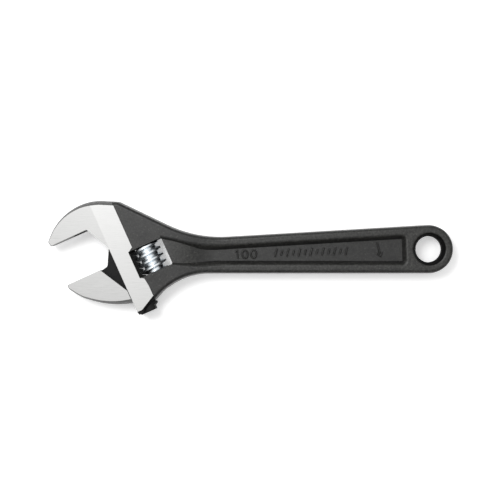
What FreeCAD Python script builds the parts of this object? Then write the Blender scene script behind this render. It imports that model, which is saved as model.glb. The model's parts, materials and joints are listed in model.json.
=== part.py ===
import FreeCAD, Part
import math
import os

from FreeCAD import Vector

# Adjustable wrench, 4 inch class, in millimetres.
# The row frame: origin on the axis of the hang hole at the middle of the thickness, +X along the
# handle from the head towards the hang hole, +Z out of the front face.
# The jaw frame: the head is turned by jaw_angle on the handle. u runs along the jaw faces, away
# from their tips, and v runs along the slide, towards "open". Both start at the row's origin.

# ---- driving dimensions -------------------------------------------------------------------------
jaw_angle = 22.5            # between the jaw faces and the handle
end_radius = 6.72           # round end of the handle
hole_radius = 3.62          # hang hole at its waist
hole_land = 2.0             # length of the hole's straight waist
hole_flare = 24.7           # degrees, by which the hole opens out beyond its waist
hole_rim_round = 0.7        # round where the hole meets the handle's faces
neck_half_width = 4.86      # where the handle's edges would meet the head's shoulders

head_half = 4.2             # half thickness of the ground band and jaws
side_bulge = 1.25           # how far the fixed jaw's rounded side leans in over that height
jaw_bulge = 1.35            # the same on the moving jaw
draft = 0.37                # how far the straight sides of shoulder and handle lean in
shoulder_half = 3.9         # half thickness of the dark part of the head
handle_half = 2.8           # half thickness of the handle's rims
jaw_tip_half = 2.45         # half thickness of the jaws at their tips
panel_half = 1.55           # half thickness of the web between the handle's rims
panel_start_half = 3.35     # the same beside the knurl window
panel_end_x = -6.3          # end of the panel beside the hang hole
panel_lean = 0.9            # how far the panel's walls lean out for each mm of height
panel_corner = 1.3          # its corners beside the hang hole
panel_margin = 2.35         # from the handle's edge to the panel's mouth
panel_round = 1.0           # round along the panel's mouth
rim_round = 1.0             # rounds of the forged rims

fixed_face_v = -43.4        # working face of the fixed jaw
opening_rest = 11.64        # jaw opening as stored
band_left_u = -80.1         # edge of the band along which the jaw slides
band_right_u = -74.2        # edge of the ground band beside the shoulder
taper_start_u = -80.0       # the jaws thin out from here to their tips
jaw_tip_u = -95.2           # tips of the jaws
head_end_v = -15.9          # bottom of the band

window_left_u, window_right_u = -75.7, -65.95
window_top_v, window_bottom_v = -33.1, -25.25

rail_u = -76.95             # axis of the jaw's rail and of its bore
rail_radius = 2.75
rail_gap = 0.1              # between rail and bore, on the radius
rail_top_v, rail_end_v = -33.9, -15.85
rail_point = 1.4            # length of the rail's cone
web_half = 1.8              # half thickness of the jaw's web
web_gap = 0.12              # between web and slot, on each side

knurl_u = -71.15            # axis of the knurl
knurl_radius = 3.85
knurl_root_radius = 2.75
knurl_length = 7.7
knurl_pitch = 1.92
knurl_chamfer = 0.35
ridge_v = -30.06            # a thread ridge's place on the side that faces the rack
groove_root_width = 0.45
groove_mouth_width = 1.35   # at knurl_radius
tooth_gap = 0.12            # between thread and tooth flanks
rack_root_u = -75.2         # bottom of the rack's tooth spaces

pin_radius = 1.0
pin_thread_radius = 1.2
pin_thread_pitch = 0.45
pin_head_radius = 1.45
pin_head_height = 1.3
pin_head_v = -20.2          # slotted face of the pin's head
pin_tip_v = -36.0
knurl_bore_radius = 1.06

spring_wire = 0.15          # radius of the spring's wire
spring_radius = 1.45
spring_turns = 3.5
spring_seat_radius = 1.8
spring_seat_depth = 2.2

cos_jaw = math.cos(math.radians(jaw_angle))
sin_jaw = math.sin(math.radians(jaw_angle))
moving_face_v = fixed_face_v + opening_rest
close_travel = opening_rest - 0.04
handle_taper = (end_radius - neck_half_width) / 64.0
far = 60.0                  # longer than any cut has to be


# ---- helpers ------------------------------------------------------------------------------------
def at(u, v, z=0.0):
    """A point of the jaw frame, as a point of the row frame."""
    return Vector(u * cos_jaw + v * sin_jaw, u * sin_jaw - v * cos_jaw, z)


u_axis = at(1, 0)
v_axis = at(0, 1)
z_axis = Vector(0, 0, 1)


def corner(u, v, radius=0.0):
    """A corner given in the jaw frame, as (x, y, radius)."""
    p = at(u, v)
    return (p.x, p.y, radius)


def inset(corners, distance):
    """The same outline, moved inwards; its corners run counter-clockwise."""
    moved = []
    for i, (x, y, radius) in enumerate(corners):
        before, after = corners[i - 1], corners[(i + 1) % len(corners)]
        p = Vector(x, y, 0)
        along = (p - Vector(before[0], before[1], 0)).normalize()
        onward = (Vector(after[0], after[1], 0) - p).normalize()
        n1, n2 = Vector(-along.y, along.x, 0), Vector(-onward.y, onward.x, 0)
        q = p + (n1 + n2) * (distance / (1 + n1.dot(n2)))
        turns_left = along.x * onward.y - along.y * onward.x > 0
        changed = radius - distance if turns_left else radius + distance
        moved.append((q.x, q.y, max(changed, 0.05) if radius else 0.0))
    return moved


def outline(corners, z=0.0):
    """A closed wire of straight runs with a round at each corner that has a radius."""
    starts, ends, mids = [], [], []
    for i, (x, y, radius) in enumerate(corners):
        before, after = corners[i - 1], corners[(i + 1) % len(corners)]
        p = Vector(x, y, z)
        back = (Vector(before[0], before[1], z) - p).normalize()
        on = (Vector(after[0], after[1], z) - p).normalize()
        half = back.getAngle(on) / 2
        run = radius / math.tan(half)
        starts.append(p + back * run)
        ends.append(p + on * run)
        bisector = (back + on).normalize()
        mids.append(p + bisector * (radius / math.sin(half) - radius))
    edges = []
    for i, (x, y, radius) in enumerate(corners):
        if radius:
            edges.append(Part.Arc(starts[i], mids[i], ends[i]).toShape())
        following = starts[(i + 1) % len(corners)]
        if ends[i].distanceToPoint(following) > 1e-4:
            edges.append(Part.LineSegment(ends[i], following).toShape())
    return Part.Wire(edges)


def prism(corners, low, high):
    """The outline as a straight block between two heights."""
    return Part.Face(outline(corners, low)).extrude(Vector(0, 0, high - low))


def forged(corners, lean, bulging):
    """A forging: widest at the parting plane, its sides leaning in towards both faces."""
    narrowed = inset(corners, lean)
    wires = [outline(narrowed, -head_half), outline(corners), outline(narrowed, head_half)]
    return Part.makeLoft(wires, True, not bulging)


def both_sides(shape):
    """The shape and its mirror image across the middle of the thickness."""
    return shape.fuse(shape.mirror(Vector(0, 0, 0), z_axis))


def above_profile(high, low, start_x, end_x, top=8.0, width=far):
    """All that lies over a face that falls from high to low along the neck in a smooth S."""
    drop, length = high - low, end_x - start_x
    radius = (length ** 2 + drop ** 2) / (4 * drop)
    middle = Vector((start_x + end_x) / 2, -width / 2, (high + low) / 2)
    bend = math.asin((length / 2) / radius) / 2
    start = Vector(start_x, -width / 2, high)
    end = Vector(end_x, -width / 2, low)
    first = start + Vector(radius * math.sin(bend), 0, radius * (math.cos(bend) - 1))
    second = end - Vector(radius * math.sin(bend), 0, radius * (math.cos(bend) - 1))
    near, away = Vector(-2 * far, -width / 2, high), Vector(far, -width / 2, low)
    rim = [
        Part.LineSegment(near, start).toShape(),
        Part.Arc(start, first, middle).toShape(),
        Part.Arc(middle, second, end).toShape(),
        Part.LineSegment(end, away).toShape(),
        Part.LineSegment(away, Vector(far, -width / 2, top)).toShape(),
        Part.LineSegment(Vector(far, -width / 2, top), Vector(-2 * far, -width / 2, top)).toShape(),
        Part.LineSegment(Vector(-2 * far, -width / 2, top), near).toShape(),
    ]
    return Part.Face(Part.Wire(rim)).extrude(Vector(0, width, 0))


def above_jaw_taper():
    """All that lies over the sloping face of a jaw, from the band out to its tip."""
    slope = (head_half - jaw_tip_half) / (taper_start_u - jaw_tip_u)
    past = 6.0
    points = [
        at(taper_start_u, -far, head_half),
        at(taper_start_u, -far, 2 * head_half),
        at(jaw_tip_u - past, -far, 2 * head_half),
        at(jaw_tip_u - past, -far, jaw_tip_half - past * slope),
    ]
    face = Part.Face(Part.makePolygon(points + points[:1]))
    return face.extrude(v_axis * far)


def rod(radius, u, start_v, end_v):
    """A round bar along the slide direction."""
    return Part.makeCylinder(radius, end_v - start_v, at(u, start_v), v_axis)


def round_rims(shape, corners, radius, where):
    """Round the edges between the forged sides and the faces, where where(midpoint) holds."""
    parting = outline(corners)
    rims = []
    for edge in shape.Edges:
        middle = edge.Curve.value((edge.FirstParameter + edge.LastParameter) / 2)
        lowest = min(abs(vertex.Z) for vertex in edge.Vertexes)
        if lowest < 1.0 or not where(middle):
            continue
        if parting.distToShape(Part.Vertex(middle.x, middle.y, 0))[0] < draft + 0.02:
            rims.append(edge)
    return shape.makeFillet(radius, rims)


def helical_cut(axis_u, start_v, length, pitch, profile):
    """A groove wound right-handed about a bar; profile is [(radius, half width), ...]."""
    placement = FreeCAD.Placement(
        at(axis_u, start_v), FreeCAD.Rotation(u_axis, z_axis, v_axis, "XYZ")
    )
    helix = Part.makeLongHelix(pitch, length, profile[0][0])
    lower = [Vector(radius, 0, -half) for radius, half in profile]
    upper = [Vector(radius, 0, half) for radius, half in reversed(profile)]
    section = Part.makePolygon(lower + upper + lower[:1])
    groove = Part.Wire(helix).makePipeShell([section], True, True)
    groove.Placement = placement.multiply(groove.Placement)
    return groove


# ---- outlines -----------------------------------------------------------------------------------
def handle_edge(x):
    """Half width of the handle at x, before its end is rounded."""
    return end_radius + handle_taper * x


def body_outline():
    """The forging's parting line, counter-clockwise, with the throat still full."""
    end_round = handle_edge(end_radius) * math.tan(math.pi / 4 - math.atan(handle_taper) / 2)
    return [
        (end_radius, -handle_edge(end_radius), end_round),
        (end_radius, handle_edge(end_radius), end_round),
        (-64.07, handle_edge(-64.07), 34.0),
        (-84.95, 15.62, 1.3),
        (-93.94, 16.33, 14.0),
        (-102.30, 11.31, 15.3),
        corner(jaw_tip_u, -44.75, 0.7),
        corner(-94.0, -40.5),
        corner(-84.0, head_end_v),
        corner(-78.35, head_end_v, 0.6),
        (-69.73, -handle_edge(-69.73), 18.4),
    ]


def moving_jaw_outline():
    """The moving jaw's parting line, counter-clockwise, past the band's edge on the right."""
    return [
        corner(-78.0, moving_face_v - 3.0),
        corner(-94.75, moving_face_v - 3.0),
        corner(jaw_tip_u, moving_face_v + 1.1, 0.8),
        corner(-92.75, -26.95, 12.0),
        corner(-86.6, -21.75, 25.0),
        corner(-78.0, -18.95),
    ]


def throat_outline():
    """The space between the jaws, machined square to the faces, counter-clockwise."""
    return [
        corner(-100.0, fixed_face_v),
        corner(-100.0, -8.0),
        corner(band_left_u, -8.0),
        corner(band_left_u, -36.3),
        corner(-83.6, fixed_face_v, 0.55),
    ]


def web_outline():
    """The jaw's web from the jaw to its rail."""
    return [
        corner(-84.9, -29.0),
        corner(-82.0, -23.2),
        corner(-79.75, -20.8),
        corner(-79.6, rail_end_v),
        corner(rail_u, rail_end_v),
        corner(rail_u, rail_top_v - 1.3),
        corner(-80.45, -36.2, 0.3),
        corner(-82.7, -31.95, 0.8),
        corner(-84.9, -31.5),
    ][::-1]


def right_of(u):
    """Everything beyond a line across the head."""
    return [corner(u, far), corner(u, -far), corner(2 * far, -far), corner(2 * far, far)][::-1]


def right_of_band():
    """The shoulder and handle, up to the stepped edge of the ground band."""
    return [
        corner(far, -2 * far),
        corner(band_right_u, -2 * far),
        corner(band_right_u, -33.9),
        corner(window_left_u, -32.9),
        corner(window_left_u, -25.45),
        corner(band_right_u - 0.4, -24.7),
        corner(band_right_u - 0.1, -22.5),
        corner(band_right_u - 0.1, far),
        corner(far, far),
    ]


def panel_outline():
    """The sunk panel between the handle's rims, at the height of those rims."""
    return [
        (panel_end_x, panel_margin - handle_edge(panel_end_x), panel_corner),
        (panel_end_x, handle_edge(panel_end_x) - panel_margin, panel_corner),
        (-64.5, handle_edge(-64.5) - panel_margin - 0.05, 26.0),
        corner(window_right_u - 4.0, window_top_v - 1.9),
        corner(window_right_u - 4.0, window_bottom_v - 1.6),
        corner(window_right_u, window_bottom_v - 0.9),
        (-62.0, panel_margin - handle_edge(-62.0) + 0.1, 30.0),
    ]


# ---- the pieces ---------------------------------------------------------------------------------
def forged_blank():
    """Handle and head as they come from the dies, with the ground band standing proud."""
    corners = body_outline()
    beyond_band = prism(right_of_band(), -far, far)
    over_neck = above_profile(shoulder_half, handle_half, -71.0, -54.0)
    shoulder = forged(corners, draft, False).cut(both_sides(over_neck))
    shoulder = shoulder.common(prism(right_of(-79.0), -far, far))
    shoulder = round_rims(shoulder, corners, rim_round, lambda p: p.dot(u_axis) > -78.9)
    band = forged(corners, side_bulge, True).cut(both_sides(above_jaw_taper()))
    return shoulder.common(beyond_band).fuse(band.cut(beyond_band))


def panel_recess():
    """The sunk panel of one face: sloping walls, and a floor that falls away along the neck."""
    mouth = panel_outline()
    reach = handle_half - panel_half + 0.1
    low = outline(inset(mouth, panel_lean * reach), handle_half - reach)
    high = outline(inset(mouth, -panel_lean * reach), handle_half + reach)
    walls = Part.makeLoft([low, high], True, True)
    recess = walls.common(above_profile(panel_start_half, panel_half, -71.0, -58.0))
    return recess.common(prism(right_of(window_right_u - 0.05), 0.0, far))


def panel_rims(shape):
    """The long straight edges of the panels' mouths; each mouth runs on smoothly from them."""
    rims = []
    for edge in shape.Edges:
        middle = edge.Curve.value((edge.FirstParameter + edge.LastParameter) / 2)
        on_rim = abs(abs(middle.z) - handle_half) < 0.001
        inside = abs(middle.y) < handle_edge(middle.x) - 2 * rim_round
        if on_rim and inside and edge.Length > 2 * end_radius:
            rims.append(edge)
    return rims


def hang_hole():
    """A straight waist that opens out in a cone, and then in a round, on both sides."""
    lean = math.radians(hole_flare)
    centre_z = handle_half - hole_rim_round
    cone_z = centre_z + hole_rim_round * math.sin(lean)
    cone_x = hole_radius + (cone_z - hole_land / 2) * math.tan(lean)
    centre_x = cone_x + hole_rim_round * math.cos(lean)
    halfway = (math.pi / 2 + lean) / 2
    on_round = Vector(
        centre_x - hole_rim_round * math.cos(halfway),
        0,
        centre_z + hole_rim_round * math.sin(halfway),
    )
    cone_end, round_end = Vector(cone_x, 0, cone_z), Vector(centre_x, 0, handle_half)
    straight = [
        round_end,
        Vector(centre_x, 0, head_half),
        Vector(0, 0, head_half),
        Vector(0, 0, 0),
        Vector(hole_radius, 0, 0),
        Vector(hole_radius, 0, hole_land / 2),
        cone_end,
    ]
    rim = [Part.LineSegment(a, b).toShape() for a, b in zip(straight, straight[1:])]
    rim.append(Part.Arc(cone_end, on_round, round_end).toShape())
    return both_sides(Part.Face(Part.Wire(rim)).revolve(Vector(0, 0, 0), z_axis, 360))


def rail_bore():
    """A drilled bore for the rail, with a drill point at its blind end, and the web's slot."""
    radius = rail_radius + rail_gap
    blind_v = rail_top_v - close_travel - 0.15
    bore = rod(radius, rail_u, blind_v, 0.0)
    point = Part.makeCone(radius, 0.7, rail_point + 0.1, at(rail_u, blind_v), v_axis * -1)
    slot_high = web_half + web_gap
    slot = prism(
        [
            corner(-88.0, 0.0),
            corner(rail_u, 0.0),
            corner(rail_u, blind_v - rail_point),
            corner(-80.45, -36.35 - close_travel, 0.3),
            corner(-83.1, -32.0 - close_travel - 0.1, 0.3),
            corner(-88.0, -32.0 - close_travel - 0.1),
        ],
        -slot_high,
        slot_high,
    )
    return bore.fuse(point).fuse(slot)


def knurl_window():
    """The square window through the head in which the knurl turns."""
    return prism(
        [
            corner(window_left_u, window_top_v),
            corner(window_left_u, window_bottom_v),
            corner(window_right_u, window_bottom_v, 0.35),
            corner(window_right_u, window_top_v, 0.35),
        ],
        -far,
        far,
    )


def pin_holes():
    """Counterbore, tapped length and blind end for the knurl's pin."""
    seat = rod(pin_head_radius + 0.08, knurl_u, pin_head_v - pin_head_height, -10.0)
    tapped = rod(pin_thread_radius + 0.04, knurl_u, window_bottom_v - 1.0, -15.0)
    blind = rod(pin_radius + 0.03, knurl_u, pin_tip_v - 0.2, window_top_v + 1.0)
    return seat.fuse(tapped).fuse(blind)


def wrench_body():
    """One forging: handle, fixed jaw and the band that guides the moving jaw."""
    body = forged_blank().cut(both_sides(panel_recess()))
    body = body.makeFillet(panel_round, panel_rims(body))
    for cutter in (
        prism(throat_outline(), -far, far),
        hang_hole(),
        rail_bore(),
        knurl_window(),
        pin_holes(),
    ):
        body = body.cut(cutter)
    return body


def rack_spaces():
    """The slanting spaces between the rack's teeth, which follow the thread's lead."""
    flank = (groove_mouth_width - groove_root_width) / 2 / (knurl_radius - knurl_root_radius)
    lean = -knurl_pitch / (2 * math.pi * knurl_radius)
    mouth_u = rail_u + rail_radius + 0.4

    def half_space(u):
        reach = knurl_u - u
        groove = groove_root_width / 2 + (reach - knurl_root_radius) * flank
        return knurl_pitch / 2 - groove + tooth_gap

    reach_z = rail_radius + 0.5
    shapes = []
    count = int((ridge_v - rail_top_v) / knurl_pitch)
    v = ridge_v - count * knurl_pitch
    while v < rail_end_v - 0.5:
        low = at(0, v - lean * reach_z, -reach_z)
        run = at(0, 2 * lean * reach_z, 2 * reach_z)
        section = Part.makePolygon(
            [
                low + u_axis * u + v_axis * half
                for u, half in (
                    (rack_root_u, half_space(rack_root_u)),
                    (mouth_u, half_space(mouth_u)),
                    (mouth_u, -half_space(mouth_u)),
                    (rack_root_u, -half_space(rack_root_u)),
                    (rack_root_u, half_space(rack_root_u)),
                )
            ]
        )
        shapes.append(Part.Face(section).extrude(run))
        v += knurl_pitch
    last_v = v - knurl_pitch
    end = prism(
        [
            corner(rack_root_u, last_v),
            corner(rack_root_u, rail_end_v + 1.0),
            corner(mouth_u, rail_end_v + 1.0),
            corner(mouth_u, last_v),
        ],
        -reach_z,
        reach_z,
    )
    return shapes[0].multiFuse(shapes[1:] + [end])


def movable_jaw():
    """Jaw, web and toothed rail in one piece."""
    corners = moving_jaw_outline()
    jaw = forged(corners, jaw_bulge, True)
    jaw = jaw.cut(both_sides(above_jaw_taper()))
    machined = prism(
        [
            corner(-100.0, moving_face_v),
            corner(-100.0, -10.0),
            corner(band_left_u - 0.16, -10.0),
            corner(band_left_u - 0.16, -23.55),
            corner(-84.5, -31.25),
            corner(-84.93, moving_face_v),
        ],
        -far,
        far,
    )
    jaw = jaw.common(machined)
    web = prism(web_outline(), -web_half, web_half)
    rail = rod(rail_radius, rail_u, rail_top_v, rail_end_v)
    point = Part.makeCone(rail_radius, 0.7, rail_point, at(rail_u, rail_top_v), v_axis * -1)
    rack = rail.fuse(point).cut(rack_spaces())
    return jaw.fuse(web).fuse(rack)


def knurl():
    """The worm that drives the rack: one right-hand thread, bored for its pin and spring."""
    start_v = window_top_v + 0.03
    blank = rod(knurl_radius, knurl_u, start_v, start_v + knurl_length)
    flank = (groove_mouth_width - groove_root_width) / 2 / (knurl_radius - knurl_root_radius)
    outer = knurl_radius + 0.4
    root_half = groove_root_width / 2
    outer_half = root_half + (outer - knurl_root_radius) * flank
    groove_start = ridge_v - 3 * knurl_pitch
    groove = helical_cut(
        knurl_u,
        groove_start,
        knurl_length + 3 * knurl_pitch,
        knurl_pitch,
        [(knurl_root_radius, root_half), (outer, outer_half)],
    )
    rims = [edge for edge in blank.Edges if edge.isClosed()]
    body = blank.makeChamfer(knurl_chamfer, rims).cut(groove)
    body = body.cut(rod(knurl_bore_radius, knurl_u, start_v - 1, start_v + knurl_length + 1))
    end_v = start_v + knurl_length
    return body.cut(rod(spring_seat_radius, knurl_u, end_v - spring_seat_depth, end_v + 1))


def knurl_pin():
    """Shouldered screw on which the knurl turns: slotted head, short thread, plain tip."""
    neck_v = pin_head_v - pin_head_height
    thread_end_v = window_bottom_v + 0.3
    head = rod(pin_head_radius, knurl_u, neck_v, pin_head_v)
    thread = rod(pin_thread_radius, knurl_u, thread_end_v, neck_v)
    shank = rod(pin_radius, knurl_u, pin_tip_v, neck_v)
    depth = 0.22
    groove = helical_cut(
        knurl_u,
        thread_end_v - pin_thread_pitch,
        neck_v - thread_end_v,
        pin_thread_pitch,
        [(pin_thread_radius - depth, 0.03), (pin_thread_radius + 0.1, 0.2)],
    )
    slot = prism(
        [
            corner(knurl_u - 3, pin_head_v + 1),
            corner(knurl_u + 3, pin_head_v + 1),
            corner(knurl_u + 3, pin_head_v - 0.6),
            corner(knurl_u - 3, pin_head_v - 0.6),
        ],
        -0.25,
        0.25,
    )
    return thread.cut(groove).fuse(shank).fuse(head).cut(slot)


def knurl_spring():
    """The small coil spring in the knurl's end that holds the knurl against the window."""
    pitch = (spring_seat_depth - 0.1 - 2 * spring_wire) / spring_turns
    helix = Part.makeLongHelix(pitch, pitch * spring_turns, spring_radius)
    circle = Part.Wire(Part.makeCircle(spring_wire, Vector(spring_radius, 0, 0), Vector(0, 1, 0)))
    coil = Part.Wire(helix).makePipeShell([circle], True, True)
    placement = FreeCAD.Placement(
        at(knurl_u, window_bottom_v - 0.08 - spring_wire - pitch * spring_turns),
        FreeCAD.Rotation(u_axis, z_axis, v_axis, "XYZ"),
    )
    coil.Placement = placement
    return coil


def save(name, shape):
    """Write one piece, and say what it is."""
    solids = shape.Solids
    assert solids, name
    kept = solids[0] if len(solids) == 1 else Part.makeCompound(solids)
    kept.exportStep(os.path.join("parts", name + ".step"))
    box = kept.BoundBox
    print(
        "%-14s solids %d valid %s volume %.1f box %.1f x %.1f x %.1f"
        % (name, len(solids), kept.isValid(), kept.Volume, box.XLength, box.YLength, box.ZLength)
    )


os.makedirs("parts", exist_ok=True)
for piece in (wrench_body, movable_jaw, knurl, knurl_pin, knurl_spring):
    save(piece.__name__, piece())
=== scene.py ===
# %% [markdown]
# # A small adjustable wrench
# The tool is four steel parts and a spring: a forged body, a sliding jaw, a turned knurl, its pin and a coil
# spring. The imported CAD model gives their places and sizes, and this script gives them their surfaces.
# It begins by loading that model and keeping its box, which gives the height of the band and of the table.

# %% Load the frame
import json
import math

import bpy
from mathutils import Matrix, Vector


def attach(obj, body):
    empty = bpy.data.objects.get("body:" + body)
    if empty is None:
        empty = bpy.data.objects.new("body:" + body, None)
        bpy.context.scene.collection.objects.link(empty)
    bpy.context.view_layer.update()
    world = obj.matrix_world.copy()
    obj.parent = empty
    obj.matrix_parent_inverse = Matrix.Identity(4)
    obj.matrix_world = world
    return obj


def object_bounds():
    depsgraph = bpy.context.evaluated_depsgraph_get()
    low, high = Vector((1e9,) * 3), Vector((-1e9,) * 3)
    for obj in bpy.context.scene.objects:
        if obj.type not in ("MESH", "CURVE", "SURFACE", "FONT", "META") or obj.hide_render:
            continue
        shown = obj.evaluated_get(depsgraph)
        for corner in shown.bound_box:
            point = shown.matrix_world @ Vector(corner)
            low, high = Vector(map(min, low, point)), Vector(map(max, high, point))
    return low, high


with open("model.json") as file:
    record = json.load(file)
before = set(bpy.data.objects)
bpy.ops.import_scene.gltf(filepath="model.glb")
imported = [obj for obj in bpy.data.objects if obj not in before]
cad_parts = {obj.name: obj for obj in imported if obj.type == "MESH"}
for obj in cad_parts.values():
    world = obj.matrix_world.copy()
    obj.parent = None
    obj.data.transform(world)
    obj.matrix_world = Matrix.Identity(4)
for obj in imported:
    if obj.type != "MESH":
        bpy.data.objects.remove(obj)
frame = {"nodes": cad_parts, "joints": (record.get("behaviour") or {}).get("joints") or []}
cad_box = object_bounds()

MM = 0.001
nodes = frame["nodes"]
print("nodes:", sorted(nodes), "size in mm:", [round(x / MM, 1) for x in cad_box[1] - cad_box[0]])

# %% [markdown]
# The head is turned on the handle, so places on it are easiest to say along the jaw: u runs along the jaw's
# faces and v along the slide. The slide's own joint holds that direction, so it is read from there and not
# typed in again.

# %% Directions of the jaw
slide = next(joint for joint in frame["joints"] if joint["type"] == "slide")
V_AXIS = Vector(slide["axis"]).normalized()
U_AXIS = Vector((0, 0, 1)).cross(V_AXIS)
print("u:", [round(x, 4) for x in U_AXIS], "v:", [round(x, 4) for x in V_AXIS])

# %% [markdown]
# The tool is all steel, with a black skin on the forgings and bright metal where they were machined. A texture
# image could give both, but the grain has to stay sharp at any distance, so every finish is made from noise in
# the metal's own coordinates. These helpers add one node or two each, so that a finish below reads as a recipe.

# %% Node helpers
def new_material(name):
    """An empty node material with one shader and an output."""
    material = bpy.data.materials.new(name)
    material.use_nodes = True
    tree = material.node_tree
    tree.nodes.clear()
    output = tree.nodes.new("ShaderNodeOutputMaterial")
    shader = tree.nodes.new("ShaderNodeBsdfPrincipled")
    tree.links.new(shader.outputs["BSDF"], output.inputs["Surface"])
    return material, tree, shader


def metal_coordinates(tree, scale, turn=0.0):
    """The metal's own coordinates in millimetres, turned about Z and stretched."""
    where = tree.nodes.new("ShaderNodeTexCoord")
    mapping = tree.nodes.new("ShaderNodeMapping")
    mapping.inputs["Rotation"].default_value = (0, 0, turn)
    mapping.inputs["Scale"].default_value = [s / MM for s in scale]
    tree.links.new(where.outputs["Object"], mapping.inputs["Vector"])
    return mapping.outputs["Vector"]


def noise(tree, vector, scale, detail=3.0, roughness=0.6):
    """A noise value, about one lump in 1 / scale of the vector's units."""
    node = tree.nodes.new("ShaderNodeTexNoise")
    node.inputs["Scale"].default_value = scale
    node.inputs["Detail"].default_value = detail
    node.inputs["Roughness"].default_value = roughness
    tree.links.new(vector, node.inputs["Vector"])
    return node.outputs["Fac"]


def spread(tree, value, low, high, start=0.3, end=0.7):
    """value between start and end, carried over to low and high."""
    node = tree.nodes.new("ShaderNodeMapRange")
    node.inputs["From Min"].default_value = start
    node.inputs["From Max"].default_value = end
    node.inputs["To Min"].default_value = low
    node.inputs["To Max"].default_value = high
    tree.links.new(value, node.inputs["Value"])
    return node.outputs["Result"]


def blend_colours(tree, share, first, second):
    """first where share is 0, second where it is 1; each is a colour or a socket."""
    node = tree.nodes.new("ShaderNodeMix")
    node.data_type = "RGBA"
    tree.links.new(share, node.inputs[0])
    for socket, colour in ((node.inputs[6], first), (node.inputs[7], second)):
        if isinstance(colour, bpy.types.NodeSocket):
            tree.links.new(colour, socket)
        else:
            socket.default_value = (*colour, 1)
    return node.outputs[2]


def raise_surface(tree, shader, height, depth_mm, strength=1.0):
    """Let height lift the surface by up to depth_mm."""
    node = tree.nodes.new("ShaderNodeBump")
    node.inputs["Strength"].default_value = strength
    node.inputs["Distance"].default_value = depth_mm * MM
    tree.links.new(height, node.inputs["Height"])
    tree.links.new(node.outputs["Normal"], shader.inputs["Normal"])


print("helpers ready for materials measured in millimetres")

# %% [markdown]
# The forged skin is phosphated: a matt crust of fine crystals that isn't metallic, so its shader isn't either.
# Four sizes of noise give it its grain. Crystals lift the surface, mottle is where the crust came out thin,
# clouds are the slow unevenness of the bath, and specks are bare spots where the crust wore through. The
# handle's rims stand above its panel, and their mottle is painted greyer: partly wear from the palm, partly
# painted highlight on the raised rims, so the sunk panel floor stays darker. The thicker head is left plain.
# The jaw's web and the bores take darker, duller copies of the crust, which are painted shade for their
# recesses.

# %% Phosphate
def height_above_middle(tree):
    """How far a point is from the middle of the tool's thickness, in metres."""
    where = tree.nodes.new("ShaderNodeTexCoord")
    split = tree.nodes.new("ShaderNodeSeparateXYZ")
    tree.links.new(where.outputs["Object"], split.inputs["Vector"])
    height = tree.nodes.new("ShaderNodeMath")
    height.operation = "ABSOLUTE"
    tree.links.new(split.outputs["Z"], height.inputs[0])
    return height.outputs["Value"]


def tinted(colour, times):
    """The colour made lighter or darker by times."""
    return [channel * times for channel in colour]


# Heights over which the handle's rims take their wear and painted highlight.
RIM_HIGHLIGHT_FROM, RIM_HIGHLIGHT_FULL = 1.9 * MM, 2.75 * MM
HEAD_FROM, HEAD_FULL = 2.9 * MM, 3.8 * MM


def make_phosphate(name, colour, wear_and_highlight, roughness=(0.3, 0.46), specular=0.4):
    """A black crust; wear_and_highlight is its lighter colour, for bare specks and for the rims' wear and
    painted highlight, and roughness runs from its least to its most.
    """
    material, tree, shader = new_material(name)
    vector = metal_coordinates(tree, (1, 1, 1))
    crystals = noise(tree, vector, scale=2.4, detail=6.0, roughness=0.8)
    mottle = noise(tree, vector, scale=1.7, detail=5.0, roughness=0.75)
    clouds = noise(tree, vector, scale=0.3)
    specks = noise(tree, vector, scale=1.9)
    clouded = blend_colours(tree, spread(tree, clouds, 0, 1), tinted(colour, 0.6), tinted(colour, 1.4))
    thin = spread(tree, mottle, 0, 0.5, start=0.46, end=0.66)
    skin = blend_colours(tree, thin, clouded, tinted(colour, 3.2))
    # Lighter patches, shown only on the rims: partly wear, partly painted highlight on the raised rims.
    patchy_wear_and_highlight = blend_colours(tree, spread(tree, mottle, 0.1, 0.8, start=0.44, end=0.64), skin, wear_and_highlight)
    height = height_above_middle(tree)
    rims_wear_and_highlight = blend_colours(tree, spread(tree, height, 0, 1, RIM_HIGHLIGHT_FROM, RIM_HIGHLIGHT_FULL), skin, patchy_wear_and_highlight)
    skin = blend_colours(tree, spread(tree, height, 0, 1, HEAD_FROM, HEAD_FULL), rims_wear_and_highlight, skin)
    bare = spread(tree, specks, 0, 0.5, start=0.6, end=0.72)
    skin = blend_colours(tree, bare, skin, tinted(wear_and_highlight, 1.8))
    shader.inputs["Specular IOR Level"].default_value = specular
    tree.links.new(skin, shader.inputs["Base Color"])
    tree.links.new(spread(tree, mottle, *roughness), shader.inputs["Roughness"])
    raise_surface(tree, shader, crystals, depth_mm=0.08, strength=0.9)
    return material


phosphate = make_phosphate("black_phosphate", (0.0105, 0.0105, 0.01), (0.045, 0.045, 0.041))
# Darker copies of the crust: painted shade for the jaw's web and rail, and for the body's hole, slot and window.
web_painted_shade = make_phosphate("web_painted_shade", (0.006, 0.006, 0.006), (0.012, 0.012, 0.011), (0.5, 0.7), 0.2)
bore_painted_shade = make_phosphate("bore_painted_shade", (0.002, 0.002, 0.002), (0.004, 0.004, 0.004), (0.6, 0.8), 0.1)
dark_oxide = make_phosphate("black_oxide", (0.012, 0.012, 0.012), (0.05, 0.05, 0.047), (0.3, 0.45))
print("made:", phosphate.name, web_painted_shade.name, bore_painted_shade.name, dark_oxide.name)

# %% [markdown]
# The head's flats are ground after the bath, which leaves bright steel. Grinding drags thousands of fine
# scratches one way across a face. They are noise squeezed hard along one direction, and it is used three times:
# in the colour, in the roughness, and least in the relief.

# %% Ground steel
GRAIN_STRETCH = (0.3, 3.6, 1.0)


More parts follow.
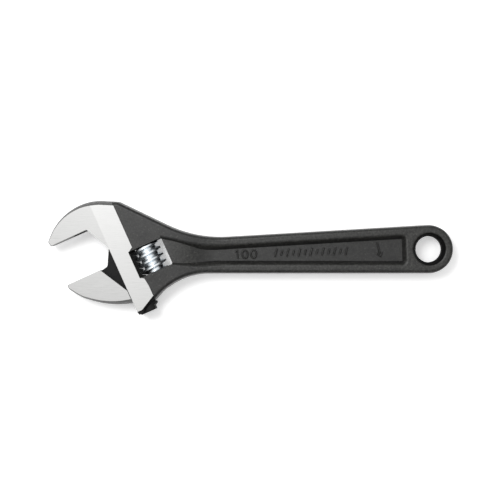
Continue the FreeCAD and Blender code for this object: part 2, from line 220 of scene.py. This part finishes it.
def make_ground_steel(name, colour, grain_angle, roughness):
    """Bright steel with a one-way grain, turned by grain_angle in degrees."""
    material, tree, shader = new_material(name)
    along = metal_coordinates(tree, GRAIN_STRETCH, math.radians(grain_angle))
    grain = noise(tree, along, scale=1.0, detail=6.0, roughness=0.75)
    clouds = noise(tree, metal_coordinates(tree, (1, 1, 1)), scale=0.22, detail=2.0)
    scratched = spread(tree, grain, 0, 1, start=0.3, end=0.62)
    streaks = blend_colours(tree, scratched, tinted(colour, 0.72), colour)
    dulled = blend_colours(tree, spread(tree, clouds, 0, 0.6), streaks, tinted(colour, 0.9))
    shader.inputs["Metallic"].default_value = 1.0
    tree.links.new(dulled, shader.inputs["Base Color"])
    tree.links.new(spread(tree, grain, *roughness), shader.inputs["Roughness"])
    raise_surface(tree, shader, grain, depth_mm=0.006, strength=0.5)
    return material


ground_steel = make_ground_steel("ground_steel", (0.52, 0.52, 0.515), 58.0, (0.46, 0.6))
spring_wire = make_ground_steel("spring_wire", (0.5, 0.5, 0.5), 10.0, (0.25, 0.4))
print("made:", ground_steel.name, spring_wire.name)

# %% [markdown]
# The knurl is cut on a lathe from bright bar, so its thread is the smoothest surface here. Turning leaves rings
# round its axis: they are waves that run along the slide's direction, far finer than the thread itself.

# %% Turned steel
def make_turned_steel(name, colour, roughness):
    """Bright bar with fine rings round the knurl's axis and a few oily smears."""
    material, tree, shader = new_material(name)
    where = tree.nodes.new("ShaderNodeTexCoord")
    along = tree.nodes.new("ShaderNodeVectorMath")
    along.operation = "DOT_PRODUCT"
    along.inputs[1].default_value = V_AXIS / MM
    tree.links.new(where.outputs["Object"], along.inputs[0])
    rings = noise(tree, along.outputs["Value"], scale=12.0, detail=2.0)
    smears = noise(tree, metal_coordinates(tree, (1, 1, 1)), scale=0.8)
    smeared = blend_colours(tree, spread(tree, smears, 0, 1), colour, tinted(colour, 0.82))
    shader.inputs["Metallic"].default_value = 1.0
    tree.links.new(smeared, shader.inputs["Base Color"])
    tree.links.new(spread(tree, smears, *roughness), shader.inputs["Roughness"])
    raise_surface(tree, shader, rings, depth_mm=0.001, strength=0.2)
    return material


turned_steel = make_turned_steel("turned_steel", (0.87, 0.91, 0.94), (0.24, 0.34))
print("made:", turned_steel.name)

# %% [markdown]
# On the body and on the jaw the finishes meet along edges that the CAD model already has, so nothing has to be
# cut or painted: each face only takes the number of its material. A face is ground when it lies on the flat of
# the band, or on the flats that slope down from there to the tips of the jaws.

# %% Which faces are ground
BAND_HALF = cad_box[1].z
FLAT_ENOUGH = 0.985
BAND_RIGHT_U = -74.2 * MM
TAPER_START_U = -80.0 * MM
JAW_TIP_U = -95.2 * MM
JAW_TIP_HALF = 2.45 * MM


def flat_height(u):
    """Height of the ground flats over the middle of the tool, at u."""
    share = max(0.0, (TAPER_START_U - u) / (TAPER_START_U - JAW_TIP_U))
    return BAND_HALF - share * (BAND_HALF - JAW_TIP_HALF)


def is_ground(face):
    """Whether a face lies on a ground flat, by its place and the way that it faces."""
    along = face.center.dot(U_AXIS)
    if along > BAND_RIGHT_U or abs(face.normal.z) < FLAT_ENOUGH:
        return False
    return abs(abs(face.center.z) - flat_height(along)) < 0.05 * MM


tip_height = flat_height(JAW_TIP_U)
print("flats above the middle: band", round(BAND_HALF / MM, 2), "mm, tips", round(tip_height / MM, 2), "mm")

# %% [markdown]
# The rest kept its phosphate, and in the recesses it takes a darker copy, which is painted shade. Those faces
# are
# found by where their middles are: in the hang hole, in the slot behind the band that the jaw's rail runs in,
# and in the knurl's window. On the jaw they are the flats of the thin web and everything that goes into the
# slot.

# %% Which faces are recessed
HOLE_MOUTH = 4.9 * MM
WINDOW_RIGHT_U, WINDOW_TOP_V, WINDOW_BOTTOM_V = -65.9 * MM, -33.2 * MM, -25.2 * MM
SLOT_LEFT_U, SLOT_TOP_V, SLOT_BOTTOM_V = -80.2 * MM, -43.3 * MM, -16 * MM
WEB_HALF = 1.9 * MM
UPRIGHT, SLOPED, LEVEL = 0.5, 0.8, 0.9


def is_recessed_in_body(face):
    """Whether a face of the forging is inside the hang hole, the jaw's slot or the knurl's window."""
    if face.center.xy.length < HOLE_MOUTH:
        return abs(face.normal.z) < SLOPED
    along, across = face.center.dot(U_AXIS), face.center.dot(V_AXIS)
    in_slot = SLOT_LEFT_U < along < BAND_RIGHT_U and SLOT_TOP_V < across < SLOT_BOTTOM_V
    in_window = SLOT_LEFT_U < along < WINDOW_RIGHT_U and WINDOW_TOP_V < across < WINDOW_BOTTOM_V
    return abs(face.normal.z) < UPRIGHT and (in_slot or in_window)


def is_recessed_on_jaw(face):
    """Whether a face of the moving jaw is on the flats of its web, or on its rail."""
    on_web = abs(face.center.z) < WEB_HALF and abs(face.normal.z) > LEVEL
    return on_web or face.center.dot(U_AXIS) > SLOT_LEFT_U


print("web within", round(WEB_HALF / MM, 1), "mm of the middle, hole's mouth", round(HOLE_MOUTH / MM, 1), "mm")

# %% [markdown]
# The CAD pieces are already in place and move with their bodies, so all they need is a finish. The body and the
# jaw take three each, and the small parts one: bright turned steel for the knurl, black oxide for its pin, and
# bare drawn wire for the spring.

# %% Give the CAD pieces their finishes
def finish_cad(name, materials, *choices):
    """Put materials on a CAD node; each of choices(face) says which faces take the next material."""
    mesh = nodes[name].data
    mesh.materials.clear()
    for material in materials:
        mesh.materials.append(material)
    counts = [0] * len(materials)
    for face in mesh.polygons:
        face.material_index = next((i for i, chosen in enumerate(choices, 1) if chosen(face)), 0)
        counts[face.material_index] += 1
    print(name, "faces in each finish:", dict(zip([material.name for material in materials], counts)))


# The third finish on the body and on the jaw is the painted shade of its recesses.
finish_cad("wrench_body", [phosphate, ground_steel, bore_painted_shade], is_ground, is_recessed_in_body)
finish_cad("movable_jaw", [phosphate, ground_steel, web_painted_shade], is_ground, is_recessed_on_jaw)
finish_cad("knurl", [turned_steel])
finish_cad("knurl_pin", [dark_oxide])
finish_cad("knurl_spring", [spring_wire])

# %% [markdown]
# Forgings carry raised marks that come from the dies. This one gets a plain size number near the head, a row of
# slanted dashes along the panel and a small arrow for the way to pull. Die-sunk marks are rounded beads and not
# sharp letters, so each is a line swept with a round section, flattened and half sunk into the panel's floor.

# %% Beads on the panel
PANEL_FLOOR = 1.55 * MM
BEAD = 0.27 * MM
BEAD_TALL = 2.0


def ring(x, y, half_width, half_height, count=20):
    """A closed upright oval."""
    turns = [2 * math.pi * i / count for i in range(count)]
    return [(x + half_width * math.cos(t), y + half_height * math.sin(t)) for t in turns]


def sweep_beads(name, strokes, rings):
    """A round bead along each stroke and each ring, which are lists of points in millimetres."""
    curve = bpy.data.curves.new(name, "CURVE")
    curve.dimensions = "3D"
    curve.bevel_depth = BEAD
    curve.bevel_resolution = 3
    curve.use_fill_caps = True
    for points in strokes + rings:
        spline = curve.splines.new("POLY")
        spline.points.add(len(points) - 1)
        for point, (x, y) in zip(spline.points, points):
            point.co = (x * MM, y * MM, 0, 1)
        spline.use_cyclic_u = points in rings
    swept = bpy.data.objects.new(name + "_line", curve)
    mesh = bpy.data.meshes.new_from_object(swept)
    bpy.data.objects.remove(swept)
    return mesh


def raise_marks(name, strokes, rings=()):
    """One piece of beads that are half sunk into the panel's floor and move with the body."""
    mesh = sweep_beads(name, list(strokes), list(rings))
    for vertex in mesh.vertices:
        vertex.co.z = PANEL_FLOOR + BEAD_TALL * vertex.co.z
    mesh.name = name
    mesh.shade_smooth()
    mesh.materials.append(phosphate)
    marks = bpy.data.objects.new(name, mesh)
    bpy.context.scene.collection.objects.link(marks)
    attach(marks, "frame")
    print(name, "lines:", len(strokes) + len(rings), "vertices:", len(mesh.vertices))


print("beads", round(BEAD / MM, 2), "mm in radius,", round(BEAD * BEAD_TALL / MM, 2), "mm above the floor")

# %% [markdown]
# The number is the tool's nominal length in millimetres, in strokes of one width: a one with a flag, and two
# upright ovals for the noughts.

# %% Size number
figure_one = [(-53.35, 0.75), (-52.75, 1.25), (-52.75, -1.05)]
noughts = [ring(x, 0.1, half_width=0.75, half_height=1.1) for x in (-50.75, -48.35)]
raise_marks("size_number", [figure_one], noughts)

# %% [markdown]
# The dashes give the thumb some grip. They lean the same way, and every other one is shorter.

# %% Dashes
DASHES, DASH_START, DASH_PITCH, DASH_LEAN, DASH_MIDDLE = 13, -42.2, 1.62, 0.3, 0.2
LONG_HALF, SHORT_HALF = 1.1, 0.75
dashes = []
for i in range(DASHES):
    x, half = DASH_START + i * DASH_PITCH, SHORT_HALF if i % 2 else LONG_HALF
    lean = DASH_LEAN * half
    dashes.append([(x - lean, DASH_MIDDLE - half), (x + lean, DASH_MIDDLE + half)])
raise_marks("panel_dashes", dashes)

# %% [markdown]
# The arrow says which way to pull, so that the fixed jaw takes the load. Its shaft bends like the handle's path
# round the nut, and its two barbs are one stroke through the shaft's end.

# %% Arrow
ARROW_X, ARROW_TOP, ARROW_LENGTH, ARROW_SWING, ARROW_BEND, ARROW_STEPS = -14.3, 2.3, 3.9, 1.1, 0.9, 5
shaft = []
for i in range(ARROW_STEPS + 1):
    share = i / ARROW_STEPS
    shaft.append((ARROW_X + ARROW_SWING * math.sin(ARROW_BEND * share), ARROW_TOP - ARROW_LENGTH * share))
point_x, point_y = shaft[-1]
barbs = [(point_x - 0.95, point_y + 0.85), shaft[-1], (point_x + 0.45, point_y + 1.2)]
raise_marks("pull_arrow", [shaft, barbs])

# %% [markdown]
# The tool lies on a plain pale table. It is lit a little from inside, as a light table is, so that the shadow
# round the tool stays thin, and its own white varies just enough not to look like paper.

# %% Floor
def make_floor(size, glow):
    """A square table just under the tool, size metres wide."""
    bpy.ops.mesh.primitive_plane_add(size=size, location=(0, 0, cad_box[0].z - 0.02 * MM))
    floor = bpy.context.object
    floor.name = "table_top"
    material, tree, shader = new_material("pale_table")
    speckle = noise(tree, metal_coordinates(tree, (1, 1, 1)), scale=0.8, detail=4.0)
    whites = blend_colours(tree, speckle, (0.9, 0.9, 0.9), (0.94, 0.94, 0.94))
    tree.links.new(whites, shader.inputs["Base Color"])
    tree.links.new(whites, shader.inputs["Emission Color"])
    shader.inputs["Emission Strength"].default_value = glow
    shader.inputs["Roughness"].default_value = 0.9
    floor.data.materials.append(material)
    print("floor at z", round(floor.location.z / MM, 2), "mm")


make_floor(size=4.0, glow=0.4)

# %% [markdown]
# Metal shows what it mirrors, so the room matters more here than the lamp. It has one broad bright patch of
# ceiling, leaning a little towards the hook's side, and is dim elsewhere: flat faces mirror the patch and shine,
# and every slope turns dark. The world's light does this with no object to get in the way, and only the camera
# sees it as plain white.

# %% Ceiling
def make_ceiling(patch, room, seen, lean_deg, full_deg, edge_deg):
    """A bright patch of ceiling in a dim room; full inside full_deg of its middle, gone by edge_deg."""
    world = bpy.data.worlds.new("ceiling")
    bpy.context.scene.world = world
    world.use_nodes = True
    tree = world.node_tree
    tree.nodes.clear()
    where = tree.nodes.new("ShaderNodeTexCoord")
    towards = tree.nodes.new("ShaderNodeVectorMath")
    towards.operation = "DOT_PRODUCT"
    lean_x, lean_y = [math.tan(math.radians(angle)) for angle in lean_deg]
    towards.inputs[1].default_value = Vector((lean_x, lean_y, 1)).normalized()
    tree.links.new(where.outputs["Generated"], towards.inputs[0])
    lit = tree.nodes.new("ShaderNodeBackground")
    lit.inputs["Color"].default_value = (1, 1, 1, 1)
    edge, full = math.cos(math.radians(edge_deg)), math.cos(math.radians(full_deg))
    glow = spread(tree, towards.outputs["Value"], room, patch, edge, full)
    tree.links.new(glow, lit.inputs["Strength"])
    plain = tree.nodes.new("ShaderNodeBackground")
    plain.inputs["Color"].default_value = (1, 1, 1, 1)
    plain.inputs["Strength"].default_value = seen
    path = tree.nodes.new("ShaderNodeLightPath")
    mix = tree.nodes.new("ShaderNodeMixShader")
    tree.links.new(path.outputs["Is Camera Ray"], mix.inputs["Fac"])
    tree.links.new(lit.outputs["Background"], mix.inputs[1])
    tree.links.new(plain.outputs["Background"], mix.inputs[2])
    output = tree.nodes.new("ShaderNodeOutputWorld")
    tree.links.new(mix.outputs["Shader"], output.inputs["Surface"])
    print("ceiling patch", patch, "room", room)


make_ceiling(patch=1.05, room=0.03, seen=1.0, lean_deg=(-3, 8), full_deg=34, edge_deg=64)

# %% [markdown]
# One large round lamp at the upper left gives the shadow its side. A lamp this wide for its distance leaves no
# hard edge, and its reflection puts a soft lengthwise gleam on the knurl.

# %% Lamp
def make_lamp(name, aim_mm, distance_mm, lean_deg, radius_mm, watts):
    """A round soft lamp that shines on aim_mm from above, leaning by lean_deg along X and Y."""
    light = bpy.data.lights.new(name, "AREA")
    light.shape = "DISK"
    light.size = 2 * radius_mm * MM
    light.energy = watts
    lamp = bpy.data.objects.new(name, light)
    bpy.context.scene.collection.objects.link(lamp)
    lean_x, lean_y = [math.tan(math.radians(angle)) for angle in lean_deg]
    away = Vector((lean_x, lean_y, 1)).normalized()
    lamp.location = (Vector(aim_mm) + distance_mm * away) * MM
    lamp.rotation_mode = "QUATERNION"
    lamp.rotation_quaternion = (-away).to_track_quat("-Z", "Y")
    print(name, "at", [round(x / MM) for x in lamp.location])


make_lamp("key_lamp", aim_mm=(-50, 0, 0), distance_mm=420, lean_deg=(-20, 20), radius_mm=90, watts=0.95)

# %% [markdown]
# The camera looks straight down on the middle of the tool from about a forearm's length, so the perspective
# is gentle: the tool's sides show only as thin lines.

# %% Camera
SENSOR_MM = 36.0


def make_camera(over_mm, distance_mm, frame_width_mm, turn_deg):
    """A camera that looks straight down and takes in frame_width_mm at the middle of the tool."""
    data = bpy.data.cameras.new("camera")
    camera = bpy.data.objects.new("camera", data)
    bpy.context.scene.collection.objects.link(camera)
    data.sensor_width = SENSOR_MM
    data.lens = SENSOR_MM * distance_mm / frame_width_mm
    camera.location = Vector((*over_mm, distance_mm)) * MM
    camera.rotation_euler = (0, 0, math.radians(turn_deg))
    data.clip_start, data.clip_end = 0.01, 50
    bpy.context.scene.camera = camera
    print("camera", distance_mm, "mm up, lens", round(data.lens, 1), "mm")


make_camera(over_mm=(-49.3, 1.22), distance_mm=310.0, frame_width_mm=138.45, turn_deg=-1.68)
bpy.context.scene.view_settings.view_transform = "Standard"
